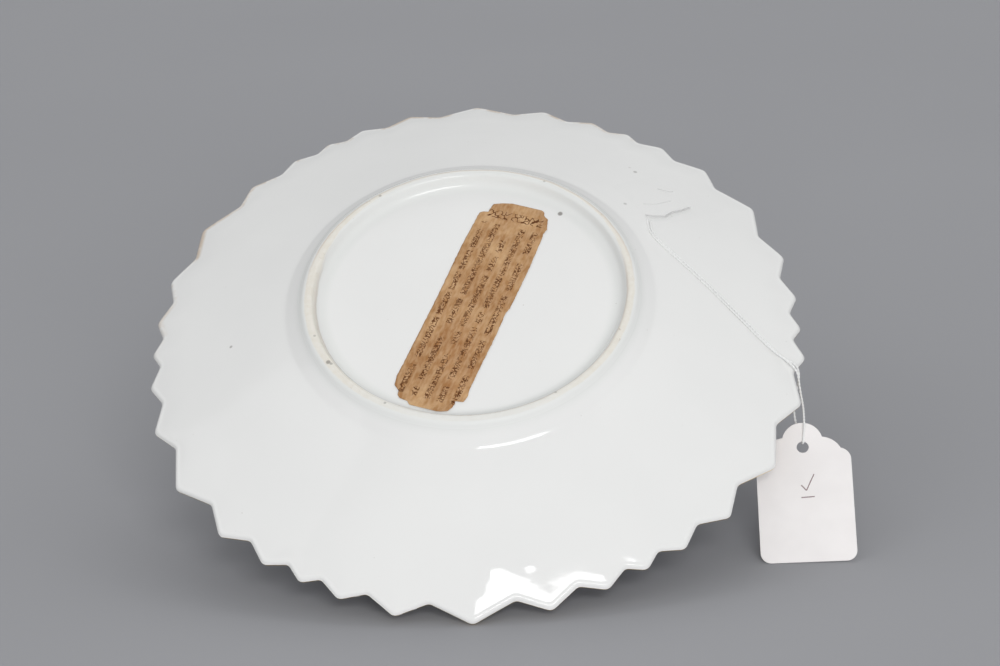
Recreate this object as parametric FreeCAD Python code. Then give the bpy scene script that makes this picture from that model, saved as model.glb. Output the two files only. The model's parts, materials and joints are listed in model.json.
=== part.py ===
"""Folding tabletop display stand with the porcelain dessert plate that it shows.

The plate leans face down on the stand, so that its back can be read.  One corner tooth of its
zigzag rim rests on the table, and four rubber-capped posts on a tilting frame reach into the
hollow of its face.  A prop on each side sets the tilt: its stud slides in a slot in the base
rail and is clamped by a knurled knob.  A paper label, a tape patch, a doubled thread and a
swing tag are on the plate.

Millimetres.  +Z is up, -Y is the side that the plate's back faces, and the origin is on the
table, below the middle of the plate's rim.  Every part of the tilting frame and of the plate is
drawn in leaning coordinates (x across, u up the slope, n out of the plate's back) and is then
put in place by LEAN.
"""
import FreeCAD, Part
import math
import os

V = FreeCAD.Vector
X_AXIS = V(1, 0, 0)
Z_AXIS = V(0, 0, 1)

# Plate
TILT = 30.0                 # slope of the plate above the table
PLATE_R = 115.0             # to the tip of a corner tooth
LIP_R = 1.4                 # round edge of the rim
BACK_SLOPE = 0.4367         # fall of the back per mm outwards
LOBES = 6
TOOTH_ANGLES = (0.0, 12.8, 22.6, 30.0)      # teeth in half a lobe, from its corner tooth
TOOTH_REACH = (1.0, 0.990, 0.980, 0.975)    # their tips, as parts of PLATE_R
NOTCH_ANGLES = (7.3, 18.1, 26.7)            # the notches between them
NOTCH_REACH = 0.951
# The rim was cut by hand: at each angle, over a spread, teeth stray outwards and along the rim.
HAND_CUT = ((-12, 8, 1.0, 3.2), (133, 24, 0.3, -1.8), (112, 14, 0.8, 0.0), (62, 20, -0.8, -0.4))
RECESS_N = 25.0             # back of the flat recess inside the foot ring
RING_N = 29.3               # top of the foot ring
FACE_KNEE = (62.0, 19.0)    # radius and height where the face's flat floor turns into its slope
FACE_FLOOR_N = 20.5

# Paper label in the recess, tape patch and swing tag
LABEL_SIZE = (25.4, 94.0)
LABEL_AT = (0.9, -2.6)
LABEL_TURN = -20.5
PAPER = 0.15
TAPE_SIZE = (19.0, 26.0)
TAPE_AT = (64.6, 49.8)
TAPE_TURN = 35.5
TAG_W = 31.75
TAG_H = 48.4
TAG_T = 0.45
TAG_HOLE_R = 2.0
TAG_HOLE_V = 39.8           # up the card from its lower edge
TAG_NECK_R = 6.8
TAG_FOOT = (109.6, -62.2, 0.32)
TAG_LEAN = 41.0
TAG_YAW = -2.0
TAG_ROLL = 1.0

# Doubled thread
THREAD_D = 0.8
THREAD_GAP = 0.2            # air under it where it lies on the plate

# Stand: sides are given as distances from the middle plane
HINGE_Z = 11.0
FRAME_N = -11.0             # middle line of the frame bars, below the rim plane
BAR_R = 6.0                 # half the height of the rails and frame bars
STRUT_R = 5.0
FRAME_BAR = (30.0, 35.0)
STRUT = (36.2, 40.2)
RAIL = (42.5, 47.5)
FRAME_TOP_U = 66.0          # last centre of the frame bars, up the slope
STRUT_L = 74.0              # hinge to strut shaft, and strut shaft to stud
EDGE = 0.5                  # rounded edges of the flat bars
RUN = 0.05                  # radial clearance of turning joints
HINGE_R = 2.5
SHAFT_R = 3.0
STUD_R = 2.5
SLOT_R = 2.7
SLOT_EXTRA = 0.2
RAIL_TAIL = 3.0             # rail beyond the end of the slot's travel, before its round end
STRIP_W = 14.0
STRIP_Z = (3.0, 5.0)
STRIP_HALF = 50.0
STRIP_Y = (-49.0, 57.0)
FOOT_X = 37.0
FOOT_R = 6.0
CROSS_N = (-5.0, -1.0)
CROSS_HALF = 40.0
CROSS_U = (-58.0, 64.0)
POST_X = 24.0
CAP_R = 5.5
CAP_GAP = 0.3
KNOB_R = 7.5
KNOB_X = (48.7, 57.7)
KNOB_RIDGES = 20
SCREW_R = 1.5
SCREW_HEAD_R = 3.0

SIN = math.sin(math.radians(TILT))
COS = math.cos(math.radians(TILT))
PLATE_Z = (PLATE_R - LIP_R) * SIN + LIP_R
LEAN = FreeCAD.Placement(V(0, 0, PLATE_Z), FreeCAD.Rotation(X_AXIS, TILT))
HINGE_U = (HINGE_Z - PLATE_Z - FRAME_N * COS) / SIN
HINGE_Y = HINGE_U * COS - FRAME_N * SIN
STUD_Y = HINGE_Y + 2 * STRUT_L * COS
STUD_Y_FLAT = HINGE_Y + 2 * STRUT_L


def leaning(shape):
    """The shape, moved from leaning coordinates to where it stands."""
    placed = shape.copy()
    placed.Placement = LEAN
    return placed


def save(name, shape):
    """One node is one STEP file; a group of equal fasteners is a compound of solids."""
    assert shape.isValid(), name
    shape.exportStep("parts/" + name + ".step")


def revolve(points):
    """A solid of revolution about n from a closed profile of (radius, n) points and curves."""
    wire = Part.Wire(Part.__sortEdges__([edge.toShape() for edge in points]))
    return Part.Face(wire).revolve(V(0, 0, 0), Z_AXIS, 360)


def line(a, b):
    return Part.LineSegment(V(a[0], 0, a[1]), V(b[0], 0, b[1]))


def arc(a, middle, b):
    return Part.Arc(V(a[0], 0, a[1]), V(middle[0], 0, middle[1]), V(b[0], 0, b[1]))


def cylinder_x(radius, x0, x1, y, z):
    return Part.makeCylinder(radius, x1 - x0, V(x0, y, z), X_AXIS)


def mirrored(shape):
    return shape.mirror(V(0, 0, 0), X_AXIS)


# ---------------------------------------------------------------- plate

def hand_cut(angle):
    """How far the rim strays outwards and along itself at an angle, in mm."""
    outwards = along = 0.0
    for centre, spread, out_mm, along_mm in HAND_CUT:
        off = (angle - centre + 180) % 360 - 180
        weight = math.exp(-(off / spread) ** 2)
        outwards += out_mm * weight
        along += along_mm * weight
    return outwards, along


def rim_outline():
    """Corner points of the zigzag rim in the plane of the plate, tips and notches in turn."""
    half = [(TOOTH_ANGLES[0], TOOTH_REACH[0])]
    for i, notch in enumerate(NOTCH_ANGLES):
        half.append((notch, NOTCH_REACH))
        half.append((TOOTH_ANGLES[i + 1], TOOTH_REACH[i + 1]))
    lobe = half + [(60.0 - angle, reach) for angle, reach in half[-2:0:-1]]
    points = []
    for i in range(LOBES):
        for angle, reach in lobe:
            turn = -90.0 + 360.0 / LOBES * i + angle
            outwards, along = hand_cut(turn)
            radius = reach * PLATE_R + outwards
            turn = math.radians(turn) + along / PLATE_R
            points.append(V(radius * math.cos(turn), radius * math.sin(turn), -5))
    return points


def back_n(radius):
    """Height of the plate's back above the rim plane, outside the foot ring."""
    slope = math.atan(BACK_SLOPE)
    lip = PLATE_R - LIP_R
    return LIP_R * math.cos(slope) + (lip + LIP_R * math.sin(slope) - radius) * BACK_SLOPE


def face_slope():
    """Fall of the plate's face per mm outwards, beyond its knee."""
    slope = math.atan(BACK_SLOPE)
    end_r = PLATE_R - LIP_R - LIP_R * math.sin(slope)
    end_n = -LIP_R * math.cos(slope)
    return (FACE_KNEE[1] - end_n) / (end_r - FACE_KNEE[0])


def face_n(radius):
    return FACE_KNEE[1] - (radius - FACE_KNEE[0]) * face_slope()


def plate():
    slope = math.atan(BACK_SLOPE)
    lip = PLATE_R - LIP_R
    back_end = (lip + LIP_R * math.sin(slope), LIP_R * math.cos(slope))
    face_end = (lip - LIP_R * math.sin(slope), -LIP_R * math.cos(slope))
    nose = (lip + LIP_R * math.cos(slope), -LIP_R * math.sin(slope))
    ring_root = (61.5, back_n(61.5))
    profile = [
        line((0, FACE_FLOOR_N), (0, RECESS_N)),
        line((0, RECESS_N), (50.2, RECESS_N)),
        arc((50.2, RECESS_N), (51.6, 25.7), (52.3, 27.2)),
        line((52.3, 27.2), (52.8, RING_N - 0.6)),
        arc((52.8, RING_N - 0.6), (54.4, RING_N), (56.0, RING_N - 0.6)),
        line((56.0, RING_N - 0.6), (57.3, 27.0)),
        arc((57.3, 27.0), (58.9, 25.1), ring_root),
        line(ring_root, back_end),
        arc(back_end, nose, face_end),
        line(face_end, FACE_KNEE),
        arc(FACE_KNEE, (57.0, 20.3), (52.0, FACE_FLOOR_N)),
        line((52.0, FACE_FLOOR_N), (0, FACE_FLOOR_N)),
    ]
    outline = rim_outline()
    cutter = Part.Face(Part.makePolygon(outline + outline[:1])).extrude(V(0, 0, 45))
    return revolve(profile).common(cutter)


def turned_rectangle(size, centre, turn, n0, n1):
    box = Part.makeBox(size[0], size[1], n1 - n0, V(-size[0] / 2, -size[1] / 2, n0))
    box.rotate(V(0, 0, 0), Z_AXIS, turn)
    box.translate(V(centre[0], centre[1], 0))
    return box


def label():
    """Aged paper with torn, clipped corners, flat in the recess."""
    w, h = LABEL_SIZE[0] / 2, LABEL_SIZE[1] / 2
    corners = [(-w + 8.6, -h), (w - 6.3, -h + 0.2), (w - 3.8, -h + 1.4), (w - 3, -h + 6),
               (w - 0.5, -h + 6.5), (w, -h + 9), (w, h - 9), (w - 1.2, h - 3.5),
               (w - 4, h), (-w + 6.6, h - 0.8), (-w + 3.5, h - 2), (-w + 3.1, h - 7),
               (-w + 0.3, h - 7.5), (-w, h - 11), (-w, -h + 10), (-w + 0.7, -h + 6),
               (-w + 3, -h + 4), (-w + 4.5, -h + 1.4)]
    points = [V(x, y, RECESS_N) for x, y in corners]
    card = Part.Face(Part.makePolygon(points + points[:1])).extrude(V(0, 0, PAPER))
    card.rotate(V(0, 0, 0), Z_AXIS, LABEL_TURN)
    card.translate(V(LABEL_AT[0], LABEL_AT[1], 0))
    return card


def tape():
    """Clear tape that holds the thread's ends on the slope of the back."""
    inner, outer = 63.0, 112.0
    low, high = 0.02, 0.20
    shell = revolve([
        line((inner, back_n(inner) + low), (outer, back_n(outer) + low)),
        line((outer, back_n(outer) + low), (outer, back_n(outer) + high)),
        line((outer, back_n(outer) + high), (inner, back_n(inner) + high)),
        line((inner, back_n(inner) + high), (inner, back_n(inner) + low)),
    ])
    return shell.common(turned_rectangle(TAPE_SIZE, TAPE_AT, TAPE_TURN, 0, 40))


# ---------------------------------------------------------------- swing tag

def tag_placement():
    """Card coordinates (across, up the card, out of its front) to where the tag leans."""
    stand_up = FreeCAD.Rotation(X_AXIS, 90 - TAG_LEAN)
    yaw = FreeCAD.Rotation(Z_AXIS, TAG_YAW)
    roll = FreeCAD.Rotation(Z_AXIS, TAG_ROLL)
    turn = yaw.multiply(stand_up).multiply(roll)
    return FreeCAD.Placement(V(*TAG_FOOT), turn)


def tag_point(across, up, out):
    return tag_placement().multVec(V(across, up, out))


def tag():
    """Card with a round neck, two scalloped shoulders on each side and rounded lower corners."""
    w = TAG_W / 2
    neck_v = TAG_H - TAG_NECK_R
    half = [
        Part.Arc(V(0, TAG_H, 0), V(4.81, neck_v + 4.81, 0), V(6.6, neck_v + 1.64, 0)),
        Part.Arc(V(6.6, neck_v + 1.64, 0), V(10.3, neck_v + 0.2, 0), V(12.6, 39.1, 0)),
        Part.Arc(V(12.6, 39.1, 0), V(15.0, 37.6, 0), V(w, 35.0, 0)),
        Part.LineSegment(V(w, 35.0, 0), V(w, 3.5, 0)),
        Part.Arc(V(w, 3.5, 0), V(w - 1.03, 1.03, 0), V(w - 3.5, 0, 0)),
        Part.LineSegment(V(w - 3.5, 0, 0), V(0, 0, 0)),
    ]
    edges = [edge.toShape() for edge in half]
    edges += [edge.mirror(V(0, 0, 0), X_AXIS) for edge in edges]
    face = Part.Face(Part.Wire(Part.__sortEdges__(edges)))
    card = face.extrude(V(0, 0, TAG_T))
    card.translate(V(0, 0, -TAG_T / 2))
    card = card.cut(Part.makeCylinder(TAG_HOLE_R, 4, V(0, TAG_HOLE_V, -2)))
    card.Placement = tag_placement()
    return card


# ---------------------------------------------------------------- thread

def on_back(x, u):
    """A point of the thread's middle line where it lies on the plate's back."""
    lift = (THREAD_D / 2 + THREAD_GAP) * math.hypot(1, BACK_SLOPE)
    return LEAN.multVec(V(x, u, back_n(math.hypot(x, u)) + lift))


def at_rim(x, u, n):
    """A point of the thread near the notch or below it, in leaning coordinates."""
    return LEAN.multVec(V(x, u, n))


def thread_route():
    """From the tape over the back and the notch, through the tag's hole and back to the tape."""
    down = [on_back(62.6, 36.4), on_back(62.2, 32.6), on_back(64.2, 27.6), on_back(69.4, 21.6),
            on_back(77.6, 13.6), on_back(87.6, 2.9), on_back(97.0, -7.5), on_back(103.3, -14.0),
            at_rim(107.8, -18.3, 5.1), at_rim(109.8, -20.4, 3.4), at_rim(110.2, -22.4, -0.5),
            at_rim(110.7, -26.5, -2.6), at_rim(111.1, -31.0, -2.9), at_rim(110.9, -35.3, -2.3)]
    fold = [tag_point(1.0, 46.6, 1.1), tag_point(0.5, 43.8, 0.85), tag_point(0.3, 41.2, 0.85),
            tag_point(0.0, 41.2, -0.85), tag_point(-0.5, 43.6, -1.6), tag_point(-1.2, 47.2, -2.9)]
    back = [at_rim(107.9, -31.9, -5.4), at_rim(108.4, -26.4, -4.3), at_rim(109.9, -21.6, -2.2),
            at_rim(110.5, -19.2, 0.9), at_rim(109.5, -17.8, 4.2), at_rim(106.4, -16.7, 5.5),
            on_back(102.0, -14.1), on_back(95.5, -7.9), on_back(86.5, 2.0), on_back(76.7, 12.5),
            on_back(68.3, 20.8), on_back(63.0, 27.1), on_back(61.1, 32.5), on_back(61.4, 36.6)]
    return down + fold + back


def thread():
    """Straight runs joined by the largest tangent arcs that the runs allow."""
    points = thread_route()
    runs = [(b - a).Length for a, b in zip(points, points[1:])]
    edges = []
    start = points[0]
    radii = []
    for i in range(1, len(points) - 1):
        before = (points[i - 1] - points[i]).normalize()
        after = (points[i + 1] - points[i]).normalize()
        half_turn = (math.pi - before.getAngle(after)) / 2
        cut = 0.45 * min(runs[i - 1], runs[i])
        radii.append(cut / math.tan(half_turn))
        first = points[i] + before * cut
        last = points[i] + after * cut
        bulge = radii[-1] * (1 / math.cos(half_turn) - 1)
        middle = points[i] + (before + after).normalize() * bulge
        edges.append(Part.LineSegment(start, first).toShape())
        edges.append(Part.Arc(first, middle, last).toShape())
        start = last
    edges.append(Part.LineSegment(start, points[-1]).toShape())
    path = Part.Wire(edges)
    ring = Part.Circle(points[0], points[1] - points[0], THREAD_D / 2).toShape()
    tube = path.makePipeShell([Part.Wire([ring])], True, False)
    section = math.pi * (THREAD_D / 2) ** 2
    print("thread: length %.1f, runs %.1f to %.1f, radii %s, volume over section %.1f" % (
        path.Length, min(runs), max(runs), [round(r, 1) for r in radii], tube.Volume / section))
    return tube


# ---------------------------------------------------------------- stand

def round_bar(a, b, radius, side, holes):
    """A flat bar with round ends between (y, z) points a and b, on the +X side."""
    x0, x1 = side
    ya, za = a
    yb, zb = b
    length = math.hypot(yb - ya, zb - za)
    top = [Part.LineSegment(V(x0, 0, radius), V(x0, length, radius)),
           Part.Arc(V(x0, length, radius), V(x0, length + radius, 0), V(x0, length, -radius)),
           Part.LineSegment(V(x0, length, -radius), V(x0, 0, -radius)),
           Part.Arc(V(x0, 0, -radius), V(x0, -radius, 0), V(x0, 0, radius))]
    bar = Part.Face(Part.Wire([edge.toShape() for edge in top])).extrude(V(x1 - x0, 0, 0))
    rims = [edge for edge in bar.Edges if edge.BoundBox.XLength < 0.01]
    bar = bar.makeFillet(EDGE, rims)
    for along, hole_r in holes:
        bar = bar.cut(cylinder_x(hole_r, x0 - 1, x1 + 1, along, 0))
    bar.rotate(V(0, 0, 0), X_AXIS, math.degrees(math.atan2(zb - za, yb - ya)))
    bar.translate(V(0, ya, za))
    return bar


def rounded_strip(half, width, middle, low, high):
    """A flat strip across the stand, with rounded corners and edges."""
    strip = Part.makeBox(2 * half, width, high - low, V(-half, middle - width / 2, low))
    corners = [edge for edge in strip.Edges if edge.BoundBox.ZLength > 0.5 * (high - low)]
    strip = strip.makeFillet(4.0, corners)
    flat = [edge for edge in strip.Edges if edge.BoundBox.ZLength < 0.01]
    return strip.makeFillet(EDGE, flat)


def screw_body(head_at, direction, length):
    """A countersunk screw without its socket, which is also the hole that it fills."""
    head = Part.makeCone(SCREW_HEAD_R, SCREW_R, 1.6, head_at, direction)
    shank = Part.makeCylinder(SCREW_R, length, head_at, direction)
    return head.fuse(shank).removeSplitter()


def flat_screw(head_at, direction, length):
    """A countersunk screw whose head is flush with head_at; its socket is six-sided."""
    socket = prism(6, 1.1, 1.0, head_at, direction)
    return screw_body(head_at, direction, length).cut(socket)


def prism(sides, radius, length, base, direction):
    points = [V(radius * math.cos(2 * math.pi * i / sides),
                radius * math.sin(2 * math.pi * i / sides), 0) for i in range(sides)]
    solid = Part.Face(Part.makePolygon(points + points[:1])).extrude(V(0, 0, length))
    solid.Placement = FreeCAD.Placement(base, FreeCAD.Rotation(Z_AXIS, direction))
    return solid


def base_rail():
    """The right rail: hinge hole in front, slot for the clamp stud behind."""
    rear = STUD_Y_FLAT + RAIL_TAIL
    rail = round_bar((HINGE_Y, HINGE_Z), (rear, HINGE_Z), BAR_R, RAIL, [(0, HINGE_R + RUN)])
    slot_ends = (STUD_Y - SLOT_EXTRA, STUD_Y_FLAT + SLOT_EXTRA)
    x0 = RAIL[0] - 1
    depth = RAIL[1] - RAIL[0] + 2
    for y in slot_ends:
        rail = rail.cut(Part.makeCylinder(SLOT_R, depth, V(x0, y, HINGE_Z), X_AXIS))
    window = Part.makeBox(depth, slot_ends[1] - slot_ends[0], 2 * SLOT_R,
                          V(x0, slot_ends[0], HINGE_Z - SLOT_R))
    rail = rail.cut(window)
    for hole in strip_screws(screw_body):
        rail = rail.cut(hole)
    return rail


def strip_screws(make=flat_screw):
    x = (RAIL[0] + RAIL[1]) / 2
    return [make(V(side * x, y, STRIP_Z[0]), Z_AXIS, 7.0)
            for y in STRIP_Y for side in (-1, 1)]


def base_strip(y):
    strip = rounded_strip(STRIP_HALF, STRIP_W, y, STRIP_Z[0], STRIP_Z[1])
    for hole in strip_screws(screw_body):
        strip = strip.cut(hole)
    for x in (-FOOT_X, FOOT_X):
        strip = strip.cut(Part.makeCylinder(1.8, 1.0, V(x, y, STRIP_Z[0])))
    return strip


def rubber_foot(x, y):
    """A bumper with a spigot that fills a shallow hole in the strip."""
    foot = Part.makeCylinder(FOOT_R, STRIP_Z[0], V(x, y, 0))
    foot = foot.makeFillet(0.9, [edge for edge in foot.Edges if edge.BoundBox.ZMax < 0.01])
    return foot.fuse(Part.makeCylinder(1.8, STRIP_Z[0] + 1.0, V(x, y, 0))).removeSplitter()


def hinge_bolt():
    head = cylinder_x(4.5, RAIL[1], RAIL[1] + 3.0, HINGE_Y, HINGE_Z)
    head = head.makeFillet(0.6, [edge for edge in head.Edges if edge.BoundBox.XMin > RAIL[1] + 2.9])
    shank = cylinder_x(HINGE_R, 24.6, RAIL[1], HINGE_Y, HINGE_Z)
    socket = prism(6, 1.9, 1.8, V(RAIL[1] + 3.0, HINGE_Y, HINGE_Z), V(-1, 0, 0))
    return head.fuse(shank).cut(socket)


def tube_x(outer, inner, x0, x1, y, z):
    tube = cylinder_x(outer, x0, x1, y, z)
    return tube.cut(cylinder_x(inner, x0 - 1, x1 + 1, y, z))


def hinge_nut():
    nut = prism(6, 4.6, 4.0, V(25.1, HINGE_Y, HINGE_Z), X_AXIS)
    return nut.cut(cylinder_x(HINGE_R, 20, 34, HINGE_Y, HINGE_Z))


def frame_bar():
    """The right bar of the tilting frame, drawn in leaning coordinates."""
    holes = [(0, HINGE_R + RUN), (STRUT_L, SHAFT_R + RUN)]
    bar = round_bar((HINGE_U, FRAME_N), (FRAME_TOP_U, FRAME_N), BAR_R, FRAME_BAR, holes)
    for hole in cross_screws(screw_body):
        bar = bar.cut(hole)
    return bar


def cross_screws(make=flat_screw):
    x = (FRAME_BAR[0] + FRAME_BAR[1]) / 2
    return [make(V(side * x, u, CROSS_N[1]), V(0, 0, -1), 9.0)
            for u in CROSS_U for side in (-1, 1)]


def cross_bar(u):
    bar = rounded_strip(CROSS_HALF, STRIP_W, u, CROSS_N[0], CROSS_N[1])
    for hole in cross_screws(screw_body):
        bar = bar.cut(hole)
    for x in (-POST_X, POST_X):
        bar = bar.cut(Part.makeCylinder(2.0, 6, V(x, u, CROSS_N[0] - 1)))
    return bar


def cap_centre_n(u):
    """Height of a cap's dome centre, so that it just clears the slope of the plate's face."""
    reach = (CAP_R + CAP_GAP) * math.hypot(1, face_slope())
    return face_n(math.hypot(POST_X, u)) - reach


def post(x, u):
    """A turned post: spigot pressed into the cross bar, flange, stem and a neck for its cap."""
    top = cap_centre_n(u)
    flange = Part.makeCylinder(4.5, 1.6, V(x, u, CROSS_N[1]))
    flange = flange.makeFillet(0.5, [e for e in flange.Edges if e.BoundBox.ZMin > CROSS_N[1] + 1])
    stem = Part.makeCylinder(3.0, top - 4.0 - CROSS_N[1], V(x, u, CROSS_N[1]))
    neck = Part.makeCylinder(1.8, top - CROSS_N[1], V(x, u, CROSS_N[1]))
    spigot = Part.makeCylinder(2.0, CROSS_N[1] - CROSS_N[0], V(x, u, CROSS_N[0]))
    return flange.fuse([stem, neck, spigot]).removeSplitter()


def cap(x, u):
    """A domed rubber cap, pushed over the neck of its post."""
    top = cap_centre_n(u)
    dome = Part.makeSphere(CAP_R, V(x, u, top), Z_AXIS, 0, 90, 360)
    skirt = Part.makeCylinder(CAP_R, 4.0, V(x, u, top - 4.0))
    skirt = skirt.makeFillet(0.8, [e for e in skirt.Edges if e.BoundBox.ZMax < top - 3.9])
    body = dome.fuse(skirt).removeSplitter()
    return body.cut(post(x, u))


def shaft_yz():
    return HINGE_Y + STRUT_L * COS, HINGE_Z + STRUT_L * SIN


def strut():
    holes = [(0, SHAFT_R), (STRUT_L, STUD_R)]
    return round_bar(shaft_yz(), (STUD_Y, HINGE_Z), STRUT_R, STRUT, holes)


def strut_shaft():
    y, z = shaft_yz()
    shaft = cylinder_x(SHAFT_R, -STRUT[1], STRUT[1], y, z)
    for end in (-STRUT[1], STRUT[1] - 7.0):
        shaft = shaft.cut(cylinder_x(SCREW_R, end, end + 7.0, y, z))
    return shaft


def shaft_screws():
    """Button screws that hold the struts on the shaft's ends."""
    y, z = shaft_yz()
    head = cylinder_x(4.4, STRUT[1], STRUT[1] + 1.4, y, z)
    head = head.makeFillet(0.9, [e for e in head.Edges if e.BoundBox.XMin > STRUT[1] + 1.3])
    shank = cylinder_x(SCREW_R, STRUT[1] - 7.0, STRUT[1], y, z)
    socket = prism(6, 1.3, 0.9, V(STRUT[1] + 1.4, y, z), V(-1, 0, 0))
    screw = head.fuse(shank).cut(socket)
    return [screw, mirrored(screw)]


def clamp_stud():
    flange = cylinder_x(4.0, STRUT[0] - 0.8, STRUT[0], STUD_Y, HINGE_Z)
    stem = cylinder_x(STUD_R, STRUT[0] - 0.8, KNOB_X[1] - 1.0, STUD_Y, HINGE_Z)
    stem = stem.makeChamfer(0.5, [e for e in stem.Edges if e.BoundBox.XMin > KNOB_X[1] - 1.1])
    return flange.fuse(stem).removeSplitter()


def clamp_knob():
    """A knurled knob with a narrower boss towards the rail."""
    x0, x1 = KNOB_X
    boss = cylinder_x(5.0, x0, x0 + 2.0, STUD_Y, HINGE_Z)
    grip = cylinder_x(KNOB_R, x0 + 2.0, x1, STUD_Y, HINGE_Z)
    grip = grip.makeFillet(0.7, [e for e in grip.Edges if e.BoundBox.XLength < 0.01])
    knob = boss.fuse(grip).removeSplitter()
    for i in range(KNOB_RIDGES):
        turn = 2 * math.pi * i / KNOB_RIDGES
        y = STUD_Y + (KNOB_R + 0.45) * math.cos(turn)
        z = HINGE_Z + (KNOB_R + 0.45) * math.sin(turn)
        knob = knob.cut(cylinder_x(0.9, x0 + 1.5, x1 + 1, y, z))
    return knob.cut(cylinder_x(STUD_R + RUN, x0 - 1, x1 + 1, STUD_Y, HINGE_Z))


def main():
    os.makedirs("parts", exist_ok=True)
    save("plate", leaning(plate()))
    save("paper_label", leaning(label()))
    save("tape_patch", leaning(tape()))
    save("swing_tag", tag())
    save("thread", thread())

    pairs = {
        "base_rail": base_rail(),
        "hinge_bolt": hinge_bolt(),
        "hinge_spacer": tube_x(4.5, HINGE_R, FRAME_BAR[1] + 0.15, RAIL[0], HINGE_Y, HINGE_Z),
        "hinge_washer": tube_x(5.0, HINGE_R, 29.1, 29.85, HINGE_Y, HINGE_Z),
        "hinge_nut": hinge_nut(),
        "frame_bar": leaning(frame_bar()),
        "strut": strut(),
        "clamp_stud": clamp_stud(),
        "clamp_washer": tube_x(5.5, STUD_R, RAIL[1] + 0.1, RAIL[1] + 1.1, STUD_Y, HINGE_Z),
        "clamp_knob": clamp_knob(),
    }
    for name, shape in pairs.items():
        save("right_" + name, shape)
        save("left_" + name, mirrored(shape))

    for name, y in zip(("front", "rear"), STRIP_Y):
        save(name + "_base_strip", base_strip(y))
        save(name + "_left_foot", rubber_foot(-FOOT_X, y))
        save(name + "_right_foot", rubber_foot(FOOT_X, y))
    for name, u in zip(("lower", "upper"), CROSS_U):
        save(name + "_cross_bar", leaning(cross_bar(u)))
        for side, x in (("left", -POST_X), ("right", POST_X)):
            save(name + "_" + side + "_post", leaning(post(x, u)))
            save(name + "_" + side + "_cap", leaning(cap(x, u)))
    save("base_strip_screws", Part.makeCompound(strip_screws()))
    save("cross_bar_screws", Part.makeCompound([leaning(screw) for screw in cross_screws()]))
    save("strut_shaft", strut_shaft())
    save("shaft_screws", Part.makeCompound(shaft_screws()))

    hole_top = tag_point(0, TAG_HOLE_V + TAG_HOLE_R, 0)
    print("hinge y %.3f z %.3f" % (HINGE_Y, HINGE_Z))
    print("strut shaft y %.3f z %.3f, stud y %.3f" % (shaft_yz() + (STUD_Y,)))
    print("tag hinge", [round(c, 3) for c in hole_top])


main()
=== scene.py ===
"""Looks of the plate display stand: a porcelain plate shown back up on a folding metal stand.

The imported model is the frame.  The plate, its paper label, the tape patch, the doubled thread and
the swing tag are rebuilt here as detailed meshes, and the stand's metal and rubber parts stay as
they are packed, with better materials.  Everything is in metres.  The plate is drawn in leaning
coordinates, as its design is: x across, u up the slope, n out of the plate's back.
"""
import json
import math

import bpy
import numpy as np
from mathutils import Matrix, Vector


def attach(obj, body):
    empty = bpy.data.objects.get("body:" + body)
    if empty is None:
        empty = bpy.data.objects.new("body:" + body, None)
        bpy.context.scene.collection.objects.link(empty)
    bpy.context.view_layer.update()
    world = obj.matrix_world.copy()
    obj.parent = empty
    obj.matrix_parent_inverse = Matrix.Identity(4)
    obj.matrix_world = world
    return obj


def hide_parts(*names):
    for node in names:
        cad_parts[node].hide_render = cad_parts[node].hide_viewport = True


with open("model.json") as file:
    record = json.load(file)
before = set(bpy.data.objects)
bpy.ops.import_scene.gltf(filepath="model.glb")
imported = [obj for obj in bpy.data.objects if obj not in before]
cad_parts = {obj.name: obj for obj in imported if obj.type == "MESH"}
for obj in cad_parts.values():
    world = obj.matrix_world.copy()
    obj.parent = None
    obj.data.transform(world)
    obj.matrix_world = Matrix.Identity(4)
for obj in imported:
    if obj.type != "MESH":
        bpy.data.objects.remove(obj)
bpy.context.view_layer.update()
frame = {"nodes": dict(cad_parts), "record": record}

# Plate, as designed
TILT = math.radians(30.0)
PLATE_R = 0.115
LIP_R = 0.0014
BACK_SLOPE = 0.4367
LOBES = 6
TOOTH_ANGLES = (0.0, 12.8, 22.6, 30.0)
TOOTH_REACH = (1.0, 0.990, 0.980, 0.975)
NOTCH_ANGLES = (7.3, 18.1, 26.7)
NOTCH_REACH = 0.951
HAND_CUT = ((-12, 8, 0.001, 0.0032), (133, 24, 0.0003, -0.0018),
            (112, 14, 0.0008, 0.0), (62, 20, -0.0008, -0.0004))
RECESS_N = 0.025
FACE_KNEE = (0.062, 0.019)
FACE_FLOOR_N = 0.0205
TIP_ROUND = 0.0017          # rounding of the teeth's tips, along each side
NOTCH_ROUND = 0.0012
LIP_DEPTH = 0.0015          # the rim's round edge reaches this far in
FACET_HEIGHT = 0.00035      # rise of the back at the corners of its six lobes
EDGE_ROLL = 0.00048         # the back falls by this much at the edge
EDGE_ROLL_WIDTH = 0.0090
GLAZE_RUNS = 0.00020        # height of the uneven glaze beside the edge
FAR_INSET = 0.05            # a distance from the edge at which nothing of it is felt

# Label, tape and tag, as designed
LABEL_LENGTH = 0.0941
LABEL_WIDTH = 0.025
LABEL_AT = (0.0009, -0.0026)
LABEL_TURN = math.radians(-20.5)
PAPER = 0.00015
PAPER_GAP = 0.00002         # keeps the paper off the glaze
TAPE_SIZE = (0.019, 0.026)
TAPE_AT = (0.0646, 0.0498)
TAPE_TURN = math.radians(35.5)
FILM = 0.00005
FILM_LIFT = 0.00012         # from the glaze to the film's outer side, where it lies flat
TAG_W = 0.03175
TAG_H = 0.0484
TAG_T = 0.00045
TAG_HOLE_R = 0.002
TAG_HOLE_V = 0.0398
TAG_NECK_R = 0.0068
TAG_FOOT = (0.1096, -0.0622, 0.00032)
TAG_LEAN = math.radians(41.0)
TAG_YAW = math.radians(-2.0)
TAG_ROLL = math.radians(1.0)

# Thread
THREAD_D = 0.0008
THREAD_GAP = 0.00005
PLY_PITCH = 0.0026          # length of one full twist of its two plies

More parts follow.
